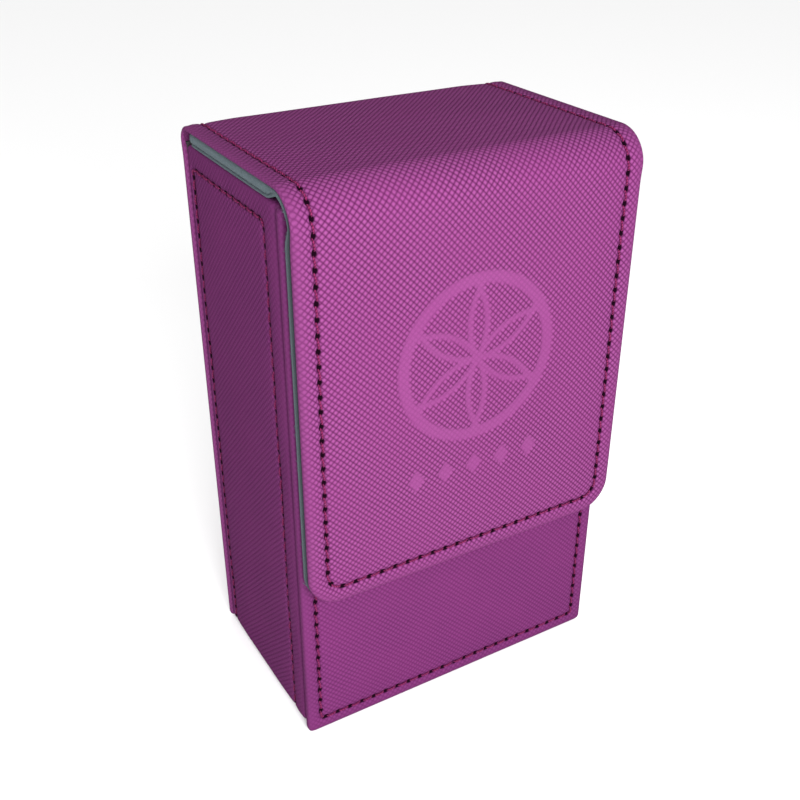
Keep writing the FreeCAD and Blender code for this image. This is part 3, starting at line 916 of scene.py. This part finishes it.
COVER_RIM = Rim(rolled(FLAP_BUILD, 1.15, under=0.5), rolled(0.95, 0.6, under=0.25), on_lid)
FLAP_CORNER = 8.0
BACK_CORNER = 1.6
COLUMN_STEP = 1.3
ROW_STEP = 0.44
EMBLEM_ROOM = 0.6
EMBLEM_STEP = 0.36
MOTIF_ROOM = 0.5
MOTIF_STEP = 0.3
seam_edges = [along_seam(side * (HALF_WIDTH - COVER_INSET)) for side in (-1, 1)]
ring_at = RING_LEVEL - flap_low[2]
motif_at = MOTIF_LEVEL - flap_low[2]
emblem_columns = (-RING_OUTER - EMBLEM_ROOM, RING_OUTER + EMBLEM_ROOM, EMBLEM_STEP)
emblem_rows = (ring_at - RING_OUTER - EMBLEM_ROOM, ring_at + RING_OUTER + EMBLEM_ROOM, EMBLEM_STEP)
motif_rows = (
    motif_at - MOTIF_HALF_HEIGHT - MOTIF_ROOM,
    motif_at + MOTIF_HALF_HEIGHT + MOTIF_ROOM,
    MOTIF_STEP,
)
cover_front = skin(
    "cover_front_leather", COVER_SEAM, COVER, (-HALF_WIDTH, 0), (HALF_WIDTH, COVER_JOIN),
    (FLAP_CORNER, 0), COVER_RIM, cover_relief,
    between(-HALF_WIDTH, HALF_WIDTH, COVER_RIM, COLUMN_STEP, seam_edges + [emblem_columns]),
    ruler(COVER_RIM.start, COVER_JOIN, ROW_STEP, [along_seam(COVER_INSET), emblem_rows, motif_rows]),
    closed=(True, False),
)
dress(cover_front, LEATHER_COVER)
fold_front(cover_front)
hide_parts("flap_leather", "front_fold_leather", "lid_leather")

cover_rear = skin(
    "cover_rear_leather", COVER_SEAM, COVER, (-HALF_WIDTH, COVER_JOIN), (HALF_WIDTH, COVER_LENGTH),
    (0, BACK_CORNER), COVER_RIM, cover_relief,
    between(-HALF_WIDTH, HALF_WIDTH, COVER_RIM, COLUMN_STEP, seam_edges),
    ruler(COVER_JOIN, COVER_LENGTH - COVER_RIM.start, ROW_STEP, [along_seam(COVER_LENGTH - COVER_INSET)]),
    closed=(False, True),
)
dress(cover_rear, LEATHER_COVER)
fold_rear(cover_rear)
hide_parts("rear_leather", "rear_fold_leather", "lid_leather")


def flat_level(along):
    return np.zeros(np.shape(along))


def on_part(low, high):
    return lambda across, along: (along > low) & (along <= high)


flap_thread = stitches("flap_stitches", COVER, COVER_SEAM, on_part(0, COVER_JOIN), flat_level, seed=1)
dress(flap_thread, THREAD_TOP)
fold_front(flap_thread)
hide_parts("flap_stitching", "lid_stitching")
behind_join = on_part(COVER_JOIN, COVER_LENGTH)
rear_thread = stitches("rear_stitches", COVER, COVER_SEAM, behind_join, flat_level, seed=2)
dress(rear_thread, THREAD_TOP)
fold_rear(rear_thread)
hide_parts("rear_stitching", "lid_stitching")

# The padded lining under the flap, the front fold and the lid, seen as a grey edge from the side.
LINING_HALF = HALF_WIDTH + 0.05
LINING_CORNERS = (7.6, 2.2)
LINING_START = 0.4
LINING_END = LID_END - 0.6
FLAP_PADDING = 2.2
# How deep the lining's inner face lies under the cover's outer face on each part.
FLAP_FACE = FLAP_BUILD + FLAP_PADDING
FOLD_FACE = 2.1
LID_FACE = 3.85
LID_PADDING = LID_FACE - 0.9
# The share of its thickness that the lining keeps in the fold.
FOLD_SHARE = 0.47
# The stitches under the lining are sunk by this much in the fold.
FOLD_SUNK = 0.4


def into_fold(along):
    return smooth(along, FOLD_START - 3, FOLD_START + 2)


def past_fold(along):
    return smooth(along, LID_START - 2, LID_START + 4)


def lining_base(along):
    at_fold = (FOLD_FACE - FLAP_FACE) * into_fold(along)
    at_lid = (LID_FACE - FOLD_FACE) * past_fold(along)
    return -(FLAP_FACE + at_fold + at_lid)


def lining_thinned(along):
    """The padding is pressed thin in the fold, where the cover has to bend."""
    return 1 - (1 - FOLD_SHARE) * into_fold(along) * (1 - past_fold(along))


def creased(thickness):
    """The lid lining's edge: a thin lip below, a crease, and a full roll against the leather."""
    lip = [(0.5, 0.0), (0.34, 0.1), (0.3, 0.3), (0.42, 0.5), (0.8, 0.62), (0.45, 0.76)]
    roll = [(0.1, 1.05), (0.0, 1.5), (0.08, thickness - 0.75), (0.5, thickness - 0.2), (1.3, thickness)]
    return lip + roll


LINING_RIM = Rim(rolled(FLAP_PADDING, 0.8, FLAP_PADDING, under=0.5), creased(LID_PADDING),
                 lambda along, ends: smooth(along, LID_START - 4, LID_START + 5), lining_thinned)
cover_lining = skin(
    "cover_lining", None, COVER, (-LINING_HALF, LINING_START), (LINING_HALF, LINING_END),
    LINING_CORNERS, LINING_RIM, cloth_relief(0.15, 5, COVER_SEAM),
    between(-LINING_HALF, LINING_HALF, LINING_RIM, 1.4, seam_edges),
    between(LINING_START, LINING_END, LINING_RIM, 0.8, [along_seam(COVER_INSET, 0.4)]),
    face=-1, base=lining_base, back_step=3,
)
dress(cover_lining, LINING)
fold_front(cover_lining)
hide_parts("flap_lining", "front_fold_lining", "lid_lining")


def under_level(along):
    """The stitches' level under the lining, sunk in the fold so that they clear the front panel."""
    in_fold = smooth(along, FOLD_START, FOLD_START + 2) * (1 - smooth(along, LID_START, LID_START + 4))
    return lining_base(along) + FOLD_SUNK * in_fold


on_lining = on_part(0, LID_END - 2)
under_thread = stitches("lining_stitches", COVER, COVER_SEAM, on_lining, under_level, -1, seed=5)
dress(under_thread, THREAD_UNDER)
fold_front(under_thread)
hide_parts("flap_stitching")


FIBRE_RINGS = 5
FIBRE_SIDES = 4
FIBRE_SPREAD = 0.42
FIBRE_ROOT = 0.12
LONGEST_FIBRE = 2.6
LOWEST_FIBRE = 6.0


def edge_fibres(name, number, seed):
    """Loose nap standing out of the lining's cut edges: thin bent hairs, the first one long."""
    random = np.random.default_rng(SEED + seed)
    side = np.where(random.uniform(size=number) < 0.5, -1.0, 1.0)
    root_s = random.uniform(LOWEST_FIBRE, LID_END - 4, number)
    length = random.uniform(0.5, 1.3, number)
    length[0] = LONGEST_FIBRE
    side[0] = -1.0
    root_s[0] = LOWEST_FIBRE
    lean = random.uniform(-1.2, 1.2, number)
    depth = random.uniform(0.15, 0.6, number) * FLAP_PADDING
    droop = random.uniform(-0.5, 0.3, number)
    radius = random.uniform(0.035, 0.06, number)
    run = np.linspace(0, 1, FIBRE_RINGS)
    turn = np.linspace(0, 2 * math.pi, FIBRE_SIDES, endpoint=False)
    out = FIBRE_SPREAD * length[:, None] * np.sin(run * 1.2)
    across = side[:, None] * (LINING_HALF - FIBRE_ROOT + out)
    along = root_s[:, None] + 0.5 * length[:, None] * np.sin(run * 1.5) * lean[:, None]
    rooted = depth[:, None] * lining_thinned(along)
    height = lining_base(along) + rooted - droop[:, None] * length[:, None] * run ** 2 * 0.5
    thick = radius[:, None] * (1.05 - run)
    points = COVER.place(
        across[..., None] + thick[..., None] * np.cos(turn) * 0.5,
        along[..., None] + thick[..., None] * np.cos(turn),
        height[..., None] + thick[..., None] * np.sin(turn),
    ).reshape(-1, 3)
    faces = tube_faces(number, FIBRE_RINGS, FIBRE_SIDES)
    weave = np.stack([across, along], -1)[:, :, None] + np.zeros((number, FIBRE_RINGS, FIBRE_SIDES, 1))
    edge = np.ones(len(points))
    values = {"edge": edge, "pressed": 0 * edge}
    return build_mesh(name, points, faces, {"weave": weave.reshape(-1, 2)}, values, sharp=80)


fibres = edge_fibres("lining_fibres", 420, 9)
dress(fibres, LINING)
fold_front(fibres)
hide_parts("flap_lining")

# The thin lining of the back, which carries on round the rear fold.
REAR_LINING = 0.6
REAR_LINING_START = LID_END + 0.4
REAR_LINING_END = COVER_LENGTH - 0.4
REAR_HALF = HALF_WIDTH - 1.8


def rear_base(along):
    return -(FLAP_BUILD + REAR_LINING) + 1.1 * (1 - smooth(along, REAR_START - 1, REAR_START + 3))


REAR_LINING_RIM = Rim(rolled(REAR_LINING, 0.28, REAR_LINING))
rear_lining = skin(
    "back_lining", None, COVER, (-REAR_HALF, REAR_LINING_START), (REAR_HALF, REAR_LINING_END),
    (1.2, 1.2), REAR_LINING_RIM, cloth_relief(0.0, 6),
    between(-REAR_HALF, REAR_HALF, REAR_LINING_RIM, 2.0),
    between(REAR_LINING_START, REAR_LINING_END, REAR_LINING_RIM, 1.5),
    face=-1, base=rear_base, back_step=3,
)
dress(rear_lining, LINING)
fold_rear(rear_lining)
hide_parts("rear_lining", "rear_fold_lining")

# ---------------------------------------------------------------- the box: front panel and gusset

FRONT_RIM = Rim(rolled(WALL_BUILD, 0.85))
front_seam_columns = [along_seam(side * (front_high[0] - FRONT_INSET)) for side in (-1, 1)]
front_skin = skin(
    "front_panel_leather", FRONT_SEAM, FRONT, (front_low[0], 0), (front_high[0], FRONT.length),
    (1.3, 1.3), FRONT_RIM, front_relief,
    between(front_low[0], front_high[0], FRONT_RIM, COLUMN_STEP, front_seam_columns),
    between(0, FRONT.length, FRONT_RIM, ROW_STEP),
)
dress(front_skin, LEATHER_BOX_SHADED)
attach(front_skin, "box")
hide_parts("front_leather")
all_round = on_part(0, FRONT.length)
front_thread = stitches("front_panel_stitches", FRONT, FRONT_SEAM, all_round, flat_level, seed=3)
dress(front_thread, THREAD_TOP)
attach(front_thread, "box")
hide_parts("front_stitching")

GUSSET_RIM = Rim(allowance(1.6), rolled(WALL_BUILD, 0.8), lambda along, ends: smooth(ends, 0.3, 0.9))
gusset_columns = [
    along_seam(gusset_low[1] + SIDE_FRONT_INSET),
    along_seam(gusset_high[1] - SIDE_REAR_INSET),
]
gusset_skin = skin(
    "gusset_leather_skin", GUSSET_SEAM, GUSSET, (gusset_low[1], 0), (gusset_high[1], GUSSET.length),
    (1.2, 1.2), GUSSET_RIM, gusset_relief,
    between(gusset_low[1], gusset_high[1], GUSSET_RIM, 1.2, gusset_columns),
    between(0, GUSSET.length, GUSSET_RIM, ROW_STEP),
)
dress(gusset_skin, LEATHER_BOX_SHADED)
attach(gusset_skin, "box")
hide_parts("gusset_leather")
whole_strip = on_part(0, GUSSET.length)
gusset_thread = stitches("gusset_stitches", GUSSET, GUSSET_SEAM, whole_strip, flat_level, seed=4)
dress(gusset_thread, THREAD_TOP)
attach(gusset_thread, "box")
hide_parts("left_stitching", "right_stitching", "bottom_stitching")


def wall_lining(name, node, plane, face_axis, inward, side_gap=0.1):
    """One padded lining plate of the cavity, from its CAD node's box."""
    low, high = reach(node)
    sweep_axis = 3 - sum(plane)
    thickness = high[face_axis] - low[face_axis]
    inner_face = high[face_axis] if inward > 0 else low[face_axis]
    run_axis = plane[0] if plane[1] == face_axis else plane[1]
    begin = [0.0, 0.0]
    begin[plane.index(face_axis)] = inner_face
    begin[plane.index(run_axis)] = low[run_axis]
    heading = 0 if plane.index(run_axis) == 0 else 90
    course = Course(plane, begin, heading, [(high[run_axis] - low[run_axis], 0)])
    _, left = course.trace.at(np.zeros(1))
    faces_left = left[0][plane.index(face_axis)] * inward > 0
    rim = Rim(rolled(thickness, 0.8, thickness))
    low_a = low[sweep_axis] + side_gap
    high_a = high[sweep_axis] - side_gap
    piece = skin(
        name, None, course, (low_a, 0), (high_a, course.length), (1.0, 1.0), rim, cloth_relief(0.12, 7),
        between(low_a, high_a, rim, 1.5),
        between(0, course.length, rim, 1.5),
        face=1 if faces_left else -1, back_step=3,
    )
    dress(piece, LINING)
    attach(piece, "box")
    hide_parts(node)


wall_lining("left_wall_lining", "left_lining", (0, 2), 0, 1)
wall_lining("right_wall_lining", "right_lining", (0, 2), 0, -1)
wall_lining("front_wall_lining", "front_lining", (1, 2), 1, 1, side_gap=2.7)
wall_lining("floor_lining", "bottom_lining", (0, 2), 2, 1)

for node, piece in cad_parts.items():
    if piece.hide_render:
        continue
    is_board = node.endswith("board")
    dress(piece, BOARD if is_board else MAGNET)


# ---------------------------------------------------------------- floor, light and camera

floor_half = 4.0
floor_mesh = bpy.data.meshes.new("studio_floor")
floor_mesh.from_pydata(
    [(x * floor_half, y * floor_half, 0) for x, y in ((-1, -1), (1, -1), (1, 1), (-1, 1))],
    [],
    [(0, 1, 2, 3)],
)
floor = bpy.data.objects.new("studio_floor", floor_mesh)
bpy.context.scene.collection.objects.link(floor)
floor.location.z = cad_low.z - 0.0004
floor_paint = Paint("pale_floor")
floor_paint.finish(Base_Color=srgb(240, 240, 240), Roughness=0.9, Specular_IOR_Level=0.1)
floor_mesh.materials.append(floor_paint.material)
# Kept out of reflections, where it would lie on the leather as a white glare.
floor.visible_glossy = False

scene = bpy.context.scene
scene.world = bpy.data.worlds.new("studio")
scene.world.use_nodes = True
scene.world.cycles_visibility.glossy = False
background = scene.world.node_tree.nodes["Background"]
background.inputs["Color"].default_value = (1.0, 1.0, 1.0, 1.0)
background.inputs["Strength"].default_value = 1.06
scene.view_settings.view_transform = "Standard"


def stand(name, data, azimuth, elevation, distance, aim):
    """A light or a camera that looks at aim from that direction, in degrees, and distance."""
    a, e = math.radians(azimuth), math.radians(elevation)
    away = Vector((math.sin(a) * math.cos(e), -math.cos(a) * math.cos(e), math.sin(e)))
    holder = bpy.data.objects.new(name, data)
    holder.location = Vector(aim) + away * distance
    holder.rotation_mode = "QUATERNION"
    holder.rotation_quaternion = (-away).to_track_quat("-Z", "Y")
    scene.collection.objects.link(holder)
    return holder


def soft_box(name, side, power, mirrored=True, **place):
    """A square area light, which reflections leave out where mirrored is false."""
    lamp = bpy.data.lights.new(name, "AREA")
    lamp.size = side
    lamp.energy = power
    stand(name, lamp, **place).visible_glossy = mirrored


soft_box("key", side=0.26, power=4.1, mirrored=False,
         azimuth=-12, elevation=16, distance=0.46, aim=(0, 0, 0.13))
soft_box("left_fill", side=0.6, power=1.0,
         azimuth=-75, elevation=20, distance=0.8, aim=(0, 0, 0.08))

VIEW_AZIMUTH = -30.39
VIEW_ELEVATION = 29.54
VIEW_DISTANCE = 0.2979
VIEW_TARGET = Vector((0.0141, 0.0285, 0.053))
LENS = 47.62
SENSOR = 36.0
camera = bpy.data.cameras.new("camera")
camera.lens = LENS
camera.sensor_width = SENSOR
camera.clip_start = 0.01
camera.clip_end = 20.0
scene.camera = stand("camera", camera, VIEW_AZIMUTH, VIEW_ELEVATION, VIEW_DISTANCE, VIEW_TARGET)
